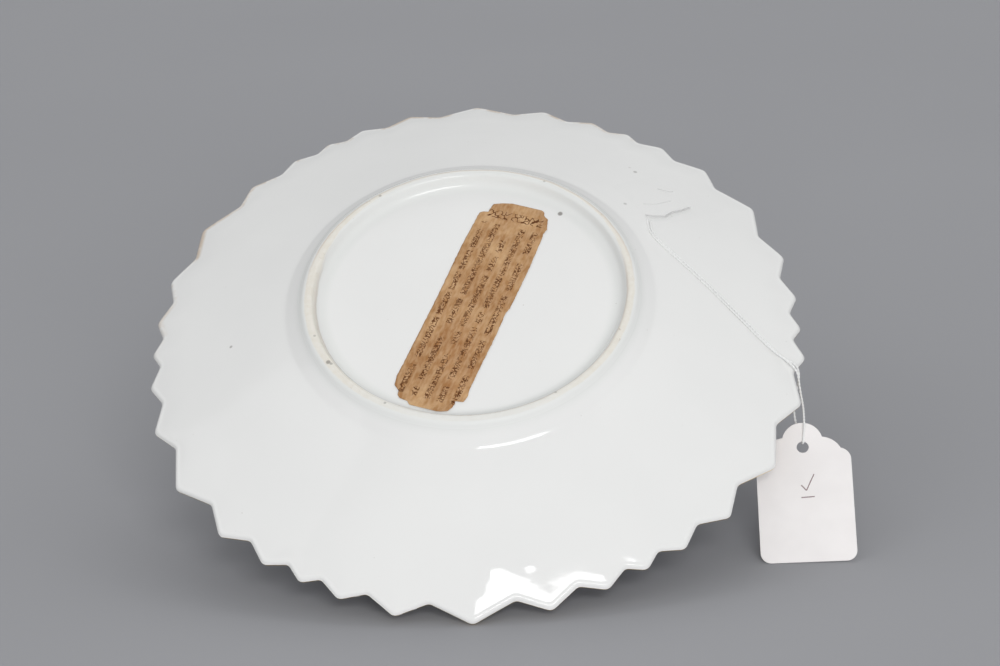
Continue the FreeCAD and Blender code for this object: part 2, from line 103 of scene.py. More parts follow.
PLATE_Z = (PLATE_R - LIP_R) * math.sin(TILT) + LIP_R
LEAN = Matrix.Translation((0, 0, PLATE_Z)) @ Matrix.Rotation(TILT, 4, "X")
TAG_PLACE = (Matrix.Translation(TAG_FOOT) @ Matrix.Rotation(TAG_YAW, 4, "Z")
             @ Matrix.Rotation(math.pi / 2 - TAG_LEAN, 4, "X") @ Matrix.Rotation(TAG_ROLL, 4, "Z"))


# ---------------------------------------------------------------- meshes

def add_mesh(name, local, faces, place, extras=None):
    """A smooth mesh; its points before placing are kept for the materials, as attribute local."""
    local = np.asarray(local, float)
    mesh = bpy.data.meshes.new(name)
    turn = np.array(place.to_3x3())
    shift = np.array(place.translation)
    mesh.from_pydata((local @ turn.T + shift).tolist(), [], faces)
    mesh.attributes.new("local", "FLOAT_VECTOR", "POINT").data.foreach_set("vector", local.ravel())
    for key, values in (extras or {}).items():
        mesh.attributes.new(key, "FLOAT", "POINT").data.foreach_set("value", np.ravel(values))
    mesh.validate()
    mesh.shade_smooth()
    piece = bpy.data.objects.new(name, mesh)
    bpy.context.scene.collection.objects.link(piece)
    return piece


def strip_faces(first, second, closed):
    """Quads between two rows of equally many point numbers."""
    n = len(first)
    last = n if closed else n - 1
    return [(first[i], first[(i + 1) % n], second[(i + 1) % n], second[i]) for i in range(last)]


def smooth_line(points, per_span):
    """A line through the points that keeps its direction at each (Catmull-Rom)."""
    p = np.asarray(points, float)
    p = np.vstack([2 * p[0] - p[1], p, 2 * p[-1] - p[-2]])
    made = []
    for i in range(1, len(p) - 2):
        for t in np.arange(per_span) / per_span:
            a = 2 * p[i]
            b = (p[i + 1] - p[i - 1]) * t
            c = (2 * p[i - 1] - 5 * p[i] + 4 * p[i + 1] - p[i + 2]) * t ** 2
            d = (3 * p[i] - p[i - 1] - 3 * p[i + 1] + p[i + 2]) * t ** 3
            made.append((a + b + c + d) / 2)
    made.append(p[-2])
    return np.array(made)


def waves(x, y, length, seed, count=9):
    """Smooth random height from -1 to 1 that varies over about the given length."""
    rng = np.random.default_rng(seed)
    total = np.zeros_like(x)
    for _ in range(count):
        turn, phase = rng.uniform(0, 2 * math.pi, 2)
        scale = 2 * math.pi / (length * rng.uniform(0.7, 1.6))
        total += np.sin((x * math.cos(turn) + y * math.sin(turn)) * scale + phase)
    return total / count


# ---------------------------------------------------------------- plate

def hand_cut(angle):
    """How far the rim strays outwards and along itself at an angle."""
    outwards = along = 0.0
    for centre, spread, out_m, along_m in HAND_CUT:
        off = (angle - centre + 180) % 360 - 180
        weight = math.exp(-(off / spread) ** 2)
        outwards += out_m * weight
        along += along_m * weight
    return outwards, along


def rim_corners():
    """Tips and notches of the zigzag rim in turn, starting with a corner tooth's tip."""
    half = [(TOOTH_ANGLES[0], TOOTH_REACH[0])]
    for i, notch in enumerate(NOTCH_ANGLES):
        half.append((notch, NOTCH_REACH))
        half.append((TOOTH_ANGLES[i + 1], TOOTH_REACH[i + 1]))
    lobe = half + [(360.0 / LOBES - angle, reach) for angle, reach in half[-2:0:-1]]
    corners = []
    for i in range(LOBES):
        for angle, reach in lobe:
            turn = -90.0 + 360.0 / LOBES * i + angle
            outwards, along = hand_cut(turn)
            radius = reach * PLATE_R + outwards
            turn = math.radians(turn) + along / PLATE_R
            corners.append((radius * math.cos(turn), radius * math.sin(turn)))
    return np.array(corners)


def rim_outline():
    """The rim's outline with its tips and notches rounded, as a closed line."""
    corners = rim_corners()
    n = len(corners)
    rounds = [TIP_ROUND if i % 2 == 0 else NOTCH_ROUND for i in range(n)]

    def cut_points(p, i):
        before = p[i - 1] - p[i]
        after = p[(i + 1) % n] - p[i]
        return (p[i] + before / np.linalg.norm(before) * rounds[i],
                p[i] + after / np.linalg.norm(after) * rounds[i])

    moved = corners.copy()
    for i in range(n):
        a, b = cut_points(corners, i)
        moved[i] += (corners[i] - (a + b) / 2) / 2
    line = []
    for i in range(n):
        a, b = cut_points(moved, i)
        for t in np.linspace(0, 1, 6):
            line.append((1 - t) ** 2 * a + 2 * t * (1 - t) * moved[i] + t ** 2 * b)
        following = cut_points(moved, (i + 1) % n)[0]
        for t in (0.2, 0.4, 0.6, 0.8):
            line.append(b + (following - b) * t)
    return np.array(line)


def distance_to(outline, points):
    """Distance of each point from the closed outline."""
    a = outline
    b = np.roll(outline, -1, axis=0)
    d = b - a
    best = np.full(len(points), np.inf)
    for start in range(0, len(points), 4000):
        p = points[start:start + 4000, None, :]
        t = np.clip(((p - a) * d).sum(2) / (d * d).sum(1), 0, 1)
        gap = np.linalg.norm(p - a - t[:, :, None] * d, axis=2)
        best[start:start + 4000] = gap.min(1)
    return best


def back_n(radius):
    """Height of the plate's back above the rim plane, outside the foot ring."""
    slope = math.atan(BACK_SLOPE)
    lip = PLATE_R - LIP_R
    return LIP_R * math.cos(slope) + (lip + LIP_R * math.sin(slope) - radius) * BACK_SLOPE


def face_slope():
    """Fall of the plate's face per metre outwards, from the knee to the rim."""
    slope = math.atan(BACK_SLOPE)
    end_r = PLATE_R - LIP_R - LIP_R * math.sin(slope)
    return (FACE_KNEE[1] + LIP_R * math.cos(slope)) / (end_r - FACE_KNEE[0])


def mound(x, u, at, height, radius):
    """A low round rise of the surface at a place on the plate."""
    return height * np.exp(-((x - at[0]) ** 2 + (u - at[1]) ** 2) / radius ** 2)


def back_relief(x, u, inset):
    """Small departures of the hand-made back from a true cone."""
    lobe = 360 / LOBES
    turn = (np.degrees(np.arctan2(u, x)) + 90) % lobe
    off_middle = np.radians(turn - lobe / 2)
    outer = np.clip((np.hypot(x, u) - 0.060) / 0.030, 0, 1)
    facets = FACET_HEIGHT * outer * (1 - np.cos(off_middle)) / (1 - math.cos(math.radians(lobe / 2)))
    roll = -EDGE_ROLL * np.clip(1 - inset / EDGE_ROLL_WIDTH, 0, 1) ** 2
    ripple = 0.00004 * waves(x, u, 0.024, 11) + 0.00010 * waves(x, u, 0.085, 12)
    runs = GLAZE_RUNS * waves(x, u, 0.011, 13) * np.clip(1 - inset / 0.012, 0, 1)
    drop = mound(x, u, (0.0186, -0.0981), 0.00028, 0.0018)
    swell = mound(x, u, (0.0068, -0.0985), 0.00045, 0.0050)
    return facets + roll + drop + swell + (ripple + runs) * np.clip(inset / 0.004, 0.25, 1)


def ring_profile():
    """The foot ring from its outer root to the recess, as (radius, n)."""
    points = [(0.0652, back_n(0.0652)), (0.0650, back_n(0.0650)), (0.0640, 0.023201), (0.0634, 0.023495),
              (0.0630, 0.023719), (0.0626, 0.023979), (0.0622, 0.024263), (0.0612, 0.024993),
              (0.0602, 0.025733), (0.0594, 0.026341), (0.0588, 0.026821), (0.0583, 0.027251),
              (0.0578, 0.027726), (0.0574, 0.028126), (0.0570, 0.028506), (0.0566, 0.028806),
              (0.0562, 0.029014), (0.0557, 0.029164), (0.0552, 0.029254), (0.0547, 0.029300),
              (0.0541, 0.029260), (0.0534, 0.028940), (0.0529, 0.028220), (0.0524, 0.027300),
              (0.0518, 0.026500), (0.0509, 0.025850), (0.0497, 0.025350), (0.0482, 0.025080),
              (0.0466, RECESS_N)]
    return smooth_line(points, 3)


def face_profile():
    """The face from the slope's top over the knee to the middle, as (radius, n)."""
    points = [(0.0660, FACE_KNEE[1] - 0.0040 * face_slope()), (0.0640, FACE_KNEE[1] - 0.00075),
              (0.0620, 0.01885), (0.0600, 0.01950), (0.0575, 0.02005), (0.0545, 0.02038),
              (0.0510, FACE_FLOOR_N)]
    return smooth_line(points, 2)


def rim_rows(outline, inner_r, steps):
    """Rows of points from the outline inwards; zigzag near the edge, round at inner_r."""
    radius = np.linalg.norm(outline, axis=1)
    direction = outline / radius[:, None]
    rows = []
    lip_insets = (0.00003, 0.0001, 0.00022, 0.0004, 0.00065, 0.00095, 0.0013, 0.0017, 0.0022, 0.0029)
    for inset in lip_insets:
        rows.append(direction * (radius - inset)[:, None])
    start = radius - lip_insets[-1]
    # The power crowds the rows towards the rim, where the zigzag is
    for t in np.linspace(0, 1, steps + 1)[1:] ** 1.4:
        rows.append(direction * (start * (1 - t) + inner_r * t)[:, None])
    return rows


def lip_heights(points, inset):
    """Back and face heights, rounded together at the edge."""
    radius = np.linalg.norm(points, axis=1)
    into_lip = np.clip(LIP_DEPTH - inset, 0, None)
    centre = radius - into_lip
    back = back_n(centre)
    face = FACE_KNEE[1] - (centre - FACE_KNEE[0]) * face_slope()
    middle = (back + face) / 2
    half = (back - face) / 2
    share = 1 - into_lip / LIP_DEPTH
    bulge = np.sqrt(np.clip(1 - (1 - share) ** 2, 0, 1))
    return middle + half * bulge, middle - half * bulge, middle


def flipped(faces, side):
    """The faces as they are on side 1, and turned round on side -1."""
    return faces if side == 1 else [face[::-1] for face in faces]


def make_plate():
    """The plate as rows of points from the rim to the middle, back (1) and face (-1)."""
    outline = rim_outline()
    columns = len(outline)
    direction = outline / np.linalg.norm(outline, axis=1)[:, None]
    points, inset_of, side_of, faces = [], [], [], []

    def add_row(flat, n, inset, side):
        start = len(points) * columns
        points.append(np.column_stack([flat, n]))
        inset_of.append(inset)
        side_of.append(np.full(columns, float(side)))
        return list(range(start, start + columns))

    _, _, middle = lip_heights(outline, np.zeros(columns))
    edge = add_row(outline, middle, np.zeros(columns), 0)
    for side in (1, -1):
        previous = edge
        profile = ring_profile() if side == 1 else face_profile()
        steps = 44 if side == 1 else 26
        for row in rim_rows(outline, profile[0][0], steps):
            inset = distance_to(outline, row)
            back, face, _ = lip_heights(row, inset)
            n = back + back_relief(row[:, 0], row[:, 1], inset) if side == 1 else face
            current = add_row(row, n, inset, side)
            faces += flipped(strip_faces(previous, current, True), side)
            previous = current
        last_r, last_n = profile[-1]
        flat_middle = [(last_r * k, last_n) for k in (0.93, 0.85, 0.75, 0.63, 0.5, 0.36, 0.2, 0.07)]
        for r, n in list(profile[1:]) + flat_middle:
            flat = direction * r
            relief = back_relief(flat[:, 0], flat[:, 1], np.full(columns, FAR_INSET)) * (side == 1)
            current = add_row(flat, n + relief, np.full(columns, PLATE_R - r), side)
            faces += flipped(strip_faces(previous, current, True), side)
            previous = current
        faces += flipped([tuple(previous)], side)
    local = np.vstack(points)
    extras = {"inset": np.concatenate(inset_of), "side": np.concatenate(side_of)}
    return add_mesh("plate_porcelain", local, faces, LEAN, extras)


# ---------------------------------------------------------------- label and tape

# The torn label's left and right edges in millimetres: along the label, and across it
LABEL_LEFT = ((-47.05, -4.1), (-45.7, -5.4), (-45.6, -8.2), (-44.6, -9.4), (-42.8, -9.7),
              (-40.8, -12.0), (-37.1, -12.7), (-8.8, -12.5), (1.1, -12.5), (22.4, -12.9),
              (36.0, -12.6), (39.7, -12.5), (40.8, -11.2), (41.0, -9.7), (42.7, -9.6),
              (45.0, -9.2), (46.3, -6.1), (47.05, -3.0))
LABEL_RIGHT = ((-47.05, 5.5), (-46.9, 6.4), (-45.7, 8.9), (-43.2, 9.8), (-41.0, 9.8),
               (-40.6, 12.2), (-38.4, 12.9), (-35.3, 12.4), (-23.4, 12.4), (-11.7, 12.6),
               (-0.6, 12.3), (2.0, 12.9), (20.2, 13.0), (36.0, 12.4), (37.4, 12.2),
               (39.2, 12.7), (43.5, 11.5), (44.6, 9.9), (46.9, 8.8), (47.05, 8.0))


def edge_line(along, points):
    """How far across the edge is at each distance along it, in metres."""
    return np.interp(along * 1000, [p[0] for p in points], [p[1] for p in points]) / 1000


def label_edges(along):
    """Left and right edge of the torn and frayed label at each distance along it."""
    fray = np.where(np.abs(along) > 0.036, 0.00035, 0.00016)
    left = edge_line(along, LABEL_LEFT) + fray * waves(along, along * 0, 0.0018, 21)
    right = edge_line(along, LABEL_RIGHT) + fray * waves(along, along * 0, 0.0018, 22)
    return left, right


def closed_sheet(name, top, thickness, place, extras):
    """A thin closed sheet below a grid of points; thickness runs along n."""
    rows, columns = top.shape[:2]
    flat = top.reshape(-1, 3)
    below = flat - np.array([0, 0, thickness])
    number = np.arange(rows * columns).reshape(rows, columns)
    under = number + rows * columns
    faces = []
    for i in range(rows - 1):
        faces += flipped(strip_faces(list(number[i]), list(number[i + 1]), False), -1)
        faces += strip_faces(list(under[i]), list(under[i + 1]), False)
    rim = list(number[0]) + list(number[1:, -1]) + list(number[-1, -2::-1]) + list(number[-2:0:-1, 0])
    faces += strip_faces(rim, [k + rows * columns for k in rim], True)
    doubled = {key: np.concatenate([np.ravel(v), np.ravel(v)]) for key, v in extras.items()}
    return add_mesh(name, np.vstack([flat, below]), [tuple(reversed(f)) for f in faces], place, doubled)


def make_label():
    """The paper label, seated in the foot's recess, a little cockled and lifted at its edges."""
    rows, columns = 220, 40
    along = np.linspace(-LABEL_LENGTH / 2, LABEL_LENGTH / 2, rows)
    left, right = label_edges(along)
    share = np.linspace(0, 1, columns)
    across = left[:, None] + (right - left)[:, None] * share
    up = np.repeat(along[:, None], columns, axis=1)
    edge = np.minimum(share, 1 - share)[None, :] * LABEL_WIDTH
    end = (LABEL_LENGTH / 2 - np.abs(along))[:, None]
    lift = 0.00018 * np.clip(1 - np.minimum(edge, end) / 0.0015, 0, 1)
    cockle = 0.00005 * (1 + waves(across, up, 0.010, 23))
    cos, sin = math.cos(LABEL_TURN), math.sin(LABEL_TURN)
    x = LABEL_AT[0] + across * cos - up * sin
    u = LABEL_AT[1] + across * sin + up * cos
    bed = ring_profile()[::-1]
    seat = np.interp(np.hypot(x, u), bed[:, 0], bed[:, 1])
    seat += back_relief(x, u, np.full(x.shape, FAR_INSET))
    n = seat + PAPER + PAPER_GAP + cockle + lift * (0.5 + 0.5 * waves(across, up, 0.012, 24))
    top = np.dstack([x, u, n])
    extras = {"label_x": across, "label_y": up}
    return closed_sheet("paper_label_sheet", top, PAPER, LEAN, extras)


# Wrinkles of the tape: height, half width and points (x, u) in millimetres on the plate
WRINKLES = (
    (0.00070, 0.00050, ((58.2, 38.4), (61.0, 38.9), (64.1, 39.3), (67.7, 40.5), (70.2, 43.8),
                        (73.8, 46.3), (76.8, 49.1), (80.0, 49.1))),
    (0.00045, 0.00045, ((70.3, 62.0), (73.6, 58.1), (77.0, 53.1), (79.5, 49.6))),
    (0.00040, 0.00040, ((65.8, 57.4), (69.2, 57.0), (72.9, 57.8))),
    (0.00035, 0.00040, ((68.2, 36.0), (71.6, 34.2), (75.4, 33.4))),
    (0.00030, 0.00045, ((60.4, 46.0), (64.8, 47.4), (70.0, 51.2))),
)


def line_gap(x, u, points):
    """Distance of each place from a broken line."""
    best = np.full(x.shape, np.inf)
    for (x0, u0), (x1, u1) in zip(points, points[1:]):
        dx, du = x1 - x0, u1 - u0
        t = np.clip(((x - x0) * dx + (u - u0) * du) / (dx * dx + du * du), 0, 1)
        best = np.minimum(best, np.hypot(x - x0 - t * dx, u - u0 - t * du))
    return best


def make_tape():
    """The clear tape patch over the thread's ends, with its wrinkles as raised ridges."""
    rows, columns = 130, 96
    up = np.repeat(np.linspace(-TAPE_SIZE[1] / 2, TAPE_SIZE[1] / 2, rows)[:, None], columns, axis=1)
    across = np.repeat(np.linspace(-TAPE_SIZE[0] / 2, TAPE_SIZE[0] / 2, columns)[None], rows, axis=0)
    across = across + 0.0004 * waves(up, up * 0, 0.012, 31)
    cos, sin = math.cos(TAPE_TURN), math.sin(TAPE_TURN)
    x = TAPE_AT[0] + across * cos - up * sin
    u = TAPE_AT[1] + across * sin + up * cos
    radius = np.hypot(x, u)
    ridges = np.zeros(x.shape)
    for height, width, points in WRINKLES:
        gap = line_gap(x, u, np.array(points) / 1000)
        ridges = np.maximum(ridges, height * np.exp(-(gap / width) ** 2))
    crumple = 0.00003 * (1 + waves(x, u, 0.006, 32))
    n = back_n(radius) + back_relief(x, u, PLATE_R - radius) + FILM_LIFT + ridges + crumple
    top = np.dstack([x, u, n])
    highest = max(height for height, _, _ in WRINKLES)
    return closed_sheet("tape_film", top, FILM, LEAN, {"fold": ridges / highest})


# ---------------------------------------------------------------- swing tag

def arc_points(start, middle, end, steps):
    """Points on the circle through three points, from start to before end."""
    (ax, ay), (bx, by), (cx, cy) = start, middle, end
    d = 2 * (ax * (by - cy) + bx * (cy - ay) + cx * (ay - by))
    sa, sb, sc = ax * ax + ay * ay, bx * bx + by * by, cx * cx + cy * cy
    x = (sa * (by - cy) + sb * (cy - ay) + sc * (ay - by)) / d
    y = (sa * (cx - bx) + sb * (ax - cx) + sc * (bx - ax)) / d
    radius = math.hypot(ax - x, ay - y)
    a0 = math.atan2(ay - y, ax - x)
    turn_middle = (a0 - math.atan2(by - y, bx - x)) % (2 * math.pi)
    turn = (a0 - math.atan2(cy - y, cx - x)) % (2 * math.pi)
    turn = turn if turn_middle < turn else turn - 2 * math.pi
    angles = [a0 - turn * i / steps for i in range(steps)]
    return [(x + radius * math.cos(a), y + radius * math.sin(a)) for a in angles]


def tag_outline():
    """The tag's outline: a round neck, two shoulders, straight sides and rounded lower corners."""
    w = TAG_W / 2
    neck_v = TAG_H - TAG_NECK_R
    half = arc_points((0, TAG_H), (0.00481, neck_v + 0.00481), (0.0066, neck_v + 0.00164), 18)
    half += arc_points((0.0066, neck_v + 0.00164), (0.0103, neck_v + 0.0002), (0.0126, 0.0391), 12)
    half += arc_points((0.0126, 0.0391), (0.0150, 0.0376), (w, 0.0350), 10)
    half += [(w, 0.0350), (w, 0.0190)]
    half += arc_points((w, 0.0035), (w - 0.00103, 0.00103), (w - 0.0035, 0), 10)
    half += [(w - 0.0035, 0)]
    return half + [(-x, y) for x, y in half[:0:-1]]


def make_tag():
    """The card, cut from a flat curve with a hole, with slightly soft edges."""
    soft = 0.00008
    curve = bpy.data.curves.new("tag_cut", "CURVE")
    curve.dimensions = "2D"
    curve.fill_mode = "BOTH"
    hole = [(TAG_HOLE_R * math.cos(a), TAG_HOLE_V + TAG_HOLE_R * math.sin(a))
            for a in np.linspace(0, 2 * math.pi, 40, endpoint=False)]
    for ring in (tag_outline(), hole):
        spline = curve.splines.new("POLY")
        spline.points.add(len(ring) - 1)
        for point, (x, y) in zip(spline.points, ring):
            point.co = (x, y, 0, 1)
        spline.use_cyclic_u = True
    curve.extrude = TAG_T / 2 - soft
    curve.bevel_depth = soft
    curve.bevel_resolution = 2
    curve.offset = -soft
    cutter = bpy.data.objects.new("tag_cut", curve)
    flat = bpy.data.meshes.new_from_object(cutter)
    local = np.array([v.co for v in flat.vertices])
    faces = [tuple(p.vertices) for p in flat.polygons]
    bpy.data.meshes.remove(flat)
    bpy.data.curves.remove(curve)
    tag = add_mesh("swing_tag_card", local, faces, TAG_PLACE)
    tag.data.shade_flat()
    return tag


# ---------------------------------------------------------------- thread

def on_back(x, u):
    """A point of the thread's middle line where it lies on the plate's back."""
    lift = (THREAD_D / 2 + THREAD_GAP) * math.hypot(1, BACK_SLOPE)
    return LEAN @ Vector((x, u, back_n(math.hypot(x, u)) + lift))


def at_rim(x, u, n):
    """A point of the thread's middle line where it hangs clear of the back, by the rim."""
    return LEAN @ Vector((x, u, n))


def tag_point(across, up, out):
    """A point in the tag's own coordinates, out towards its front."""
    return TAG_PLACE @ Vector((across, up, out))


def thread_route():
    """From the tape over the back and the notch, through the tag's hole and back to the tape."""
    down = [on_back(0.0626, 0.0364), on_back(0.0622, 0.0326), on_back(0.0642, 0.0276),
            on_back(0.0694, 0.0216), on_back(0.0776, 0.0136), on_back(0.0876, 0.0029),
            on_back(0.0970, -0.0075), on_back(0.1033, -0.0140), at_rim(0.1078, -0.0183, 0.0051),
            at_rim(0.1098, -0.0204, 0.0034), at_rim(0.1102, -0.0224, -0.0005),
            at_rim(0.1107, -0.0265, -0.0026), at_rim(0.1111, -0.0310, -0.0029),
            at_rim(0.1109, -0.0353, -0.0023)]
    fold = [tag_point(0.0010, 0.0466, 0.0011), tag_point(0.0005, 0.0438, 0.00085),
            tag_point(0.0003, 0.0412, 0.00085), tag_point(0.0, 0.0412, -0.00085),
            tag_point(-0.0005, 0.0436, -0.0016), tag_point(-0.0012, 0.0472, -0.0029)]
    back = [at_rim(0.1079, -0.0319, -0.0054), at_rim(0.1084, -0.0264, -0.0043),
            at_rim(0.1099, -0.0216, -0.0022), at_rim(0.1105, -0.0192, 0.0009),
            at_rim(0.1095, -0.0178, 0.0042), at_rim(0.1064, -0.0167, 0.0055),
            on_back(0.1022, -0.0139), on_back(0.0958, -0.0076), on_back(0.0868, 0.0023),
            on_back(0.0770, 0.0128), on_back(0.0687, 0.0211), on_back(0.0634, 0.0273),
            on_back(0.0613, 0.0326), on_back(0.0616, 0.0366)]
    return down + fold + back


def nurbs_line(route):
    """Points read from the smooth NURBS line that the route controls."""
    curve = bpy.data.curves.new("route", "CURVE")
    curve.dimensions = "3D"
    curve.resolution_u = 14
    spline = curve.splines.new("NURBS")
    spline.points.add(len(route) - 1)
    for point, place in zip(spline.points, route):
        point.co = (*place, 1)
    spline.order_u = 3
    spline.use_endpoint_u = True
    holder = bpy.data.objects.new("route", curve)
    mesh = bpy.data.meshes.new_from_object(holder)
    line = np.array([v.co for v in mesh.vertices])
    bpy.data.meshes.remove(mesh)
    bpy.data.curves.remove(curve)
    return line


def evenly(line, step):
    """Places along the line at about the given step, and the points there."""
    along = np.concatenate([[0], np.cumsum(np.linalg.norm(np.diff(line, axis=0), axis=1))])
    places = np.linspace(0, along[-1], int(along[-1] / step) + 1)
    return places, np.stack([np.interp(places, along, line[:, k]) for k in range(3)], axis=1)


def carried_frames(line):
    """Two normals at each point of the line that turn as little as possible along it."""
    along = np.gradient(line, axis=0)
    along /= np.linalg.norm(along, axis=1)[:, None]
    first = np.cross(along[0], (0, 0, 1))
    normals = [first / np.linalg.norm(first)]
    for t in along[1:]:
        n = normals[-1] - t * (normals[-1] @ t)
        normals.append(n / np.linalg.norm(n))
    normals = np.array(normals)
    return normals, np.cross(along, normals)


def make_thread(line):
    """Two cotton plies twisted round each other along the line."""
    places, centre = evenly(line, 0.00025)
    normal, other = carried_frames(centre)
    sides = 9
    ply_r = THREAD_D * 0.29
    points, faces = [], []
    for ply in range(2):
        phase = 2 * math.pi * places / PLY_PITCH + math.pi * ply
        outwards = normal * np.cos(phase)[:, None] + other * np.sin(phase)[:, None]
        away = (THREAD_D / 2 - ply_r) * outwards
        rings = []
        for k in range(sides):
            a = 2 * math.pi * k / sides
            rings.append(centre + away + ply_r * (normal * math.cos(a) + other * math.sin(a)))
        start = sum(len(made) for made in points)
        points.append(np.stack(rings, axis=1).reshape(-1, 3))
        rows = [list(range(start + i * sides, start + (i + 1) * sides)) for i in range(len(places))]
        for a, b in zip(rows, rows[1:]):
            faces += strip_faces(a, b, True)
        faces += [tuple(rows[0][::-1]), tuple(rows[-1])]
    return add_mesh("cotton_thread_run", np.vstack(points), faces, Matrix.Identity(4))


# ---------------------------------------------------------------- material helpers

def new_material(name, **constants):
    """A material with one Principled shader; constants are its plain socket values."""
    made = bpy.data.materials.new(name)
    made.use_nodes = True
    shader = made.node_tree.nodes["Principled BSDF"]
    for key, value in constants.items():
        shader.inputs[key.replace("_", " ")].default_value = value
    return made, made.node_tree, shader


def plug(tree, socket, value):
    """Links a socket to a node's output, or sets it to a number or colour."""
    if isinstance(value, bpy.types.NodeSocket):
        tree.links.new(value, socket)
    elif hasattr(value, "__len__") and len(value) == 3 and socket.type == "RGBA":
        socket.default_value = (*value, 1.0)
    else:
        socket.default_value = value


def calc(tree, operation, *values):
    """A Math node over sockets and numbers."""
    node = tree.nodes.new("ShaderNodeMath")
    node.operation = operation
    for socket, value in zip(node.inputs, values):
        plug(tree, socket, value)
    return node.outputs[0]


def times(tree, first, *others):
    """Product of sockets and numbers."""
    for other in others:
        first = calc(tree, "MULTIPLY", first, other)
    return first


def plus(tree, first, *others):
    """Sum of sockets and numbers."""
    for other in others:
        first = calc(tree, "ADD", first, other)
    return first


def minus(tree, first, second):
    return calc(tree, "SUBTRACT", first, second)


def largest(tree, first, *others):
    """The largest of sockets and numbers."""
    for other in others:
        first = calc(tree, "MAXIMUM", first, other)
    return first


def stored_number(tree, name):
    """A number that is stored at the mesh's points."""
    node = tree.nodes.new("ShaderNodeAttribute")
    node.attribute_name = name
    return node.outputs["Fac"]


def stored_place(tree):
    """The point's x, y and z before its piece was placed."""
    node = tree.nodes.new("ShaderNodeAttribute")
    node.attribute_name = "local"
    split = tree.nodes.new("ShaderNodeSeparateXYZ")
    tree.links.new(node.outputs["Vector"], split.inputs[0])
    return split.outputs


def joined(tree, x, y):
    """A vector from two numbers."""
    node = tree.nodes.new("ShaderNodeCombineXYZ")
    tree.links.new(x, node.inputs[0])
    tree.links.new(y, node.inputs[1])
    return node.outputs[0]


def scaled(tree, vector, scale):
    """A vector stretched by a factor for each axis."""
    node = tree.nodes.new("ShaderNodeVectorMath")
    node.operation = "MULTIPLY"
    tree.links.new(vector, node.inputs[0])
    node.inputs[1].default_value = scale
    return node.outputs[0]


def grain(tree, scale, detail=3.0, vector=None, roughness=0.5):
    """Noise from 0 to 1; scale is in features per metre."""
    node = tree.nodes.new("ShaderNodeTexNoise")
    node.inputs["Scale"].default_value = scale
    node.inputs["Detail"].default_value = detail
    node.inputs["Roughness"].default_value = roughness
    if vector is None:
        vector = tree.nodes.new("ShaderNodeTexCoord").outputs["Object"]
    tree.links.new(vector, node.inputs["Vector"])
    return node.outputs["Fac"]


def between(tree, value, low, high, to_low=0.0, to_high=1.0):
    """Smooth step of a value from low to high."""
    node = tree.nodes.new("ShaderNodeMapRange")
    node.interpolation_type = "SMOOTHSTEP"
    for socket, number in zip(node.inputs, (value, low, high, to_low, to_high)):
        plug(tree, socket, number)
    return node.outputs[0]


def in_band(tree, value, low, high, soft):
    """1 from low to high and 0 outside, with soft edges."""
    rise = between(tree, value, low - soft, low + soft)
    fall = between(tree, value, high - soft, high + soft, 1.0, 0.0)
    return times(tree, rise, fall)


def spot(tree, x, y, at, radius):
    """A soft round dot at a place."""
    dx = minus(tree, x, at[0])
    dy = minus(tree, y, at[1])
    away = calc(tree, "SQRT", plus(tree, times(tree, dx, dx), times(tree, dy, dy)))
    return between(tree, away, radius * 0.5, radius, 1.0, 0.0)


def mix(tree, share, first, second):
    """Colour from first to second as the share goes from 0 to 1."""
    node = tree.nodes.new("ShaderNodeMix")
    node.data_type = "RGBA"
    plug(tree, node.inputs["Factor"], share)
    plug(tree, node.inputs[6], first)
    plug(tree, node.inputs[7], second)
    return node.outputs[2]


def set_colour(tree, shader, colour):
    tree.links.new(colour, shader.inputs["Base Color"])


def set_roughness(tree, shader, roughness):
    tree.links.new(roughness, shader.inputs["Roughness"])


def bump(tree, shader, height, distance):
    """Fine relief on the surface from a height of 0 to 1; distance is in metres."""
    node = tree.nodes.new("ShaderNodeBump")
    node.inputs["Distance"].default_value = distance
    node.inputs["Strength"].default_value = 1.0
    tree.links.new(height, node.inputs["Height"])
    tree.links.new(node.outputs["Normal"], shader.inputs["Normal"])


# ---------------------------------------------------------------- porcelain

# Dark specks on the back: place on the plate, radius and strength
SPECKS = (((0.0312, 0.0369), 0.0011, 0.75), ((0.0580, 0.0673), 0.0009, 0.45),
          ((0.0539, 0.0444), 0.0008, 0.35), ((-0.0824, -0.0088), 0.0007, 0.5),
          ((-0.0465, -0.0290), 0.0010, 0.65), ((-0.0455, -0.0297), 0.0007, 0.5),
          ((-0.0516, -0.0174), 0.0006, 0.4), ((-0.0315, 0.0453), 0.0007, 0.45),
          ((0.0260, 0.0488), 0.0006, 0.35), ((-0.0271, -0.0472), 0.0006, 0.45),
          ((0.0287, -0.0455), 0.0006, 0.45))


def glaze_colour(tree, radius, is_back):
    """Faintly uneven off-white; grey-green beside the foot ring, partly pooled glaze and partly painted
    shade in the coves.
    """
    cloud = between(tree, grain(tree, 22.0, 2.0), 0.3, 0.75)
    white = mix(tree, cloud, (0.806, 0.804, 0.790), (0.786, 0.784, 0.771))
    # Darker grey-green in the coves beside the foot ring: pooled glaze tint, and painted shade where the
    # coves fall away from the light
    pooled_glaze_and_shade = times(tree, in_band(tree, radius, 0.0485, 0.0590, 0.0014), is_back, 0.18)
    return mix(tree, pooled_glaze_and_shade, white, (0.590, 0.630, 0.590))


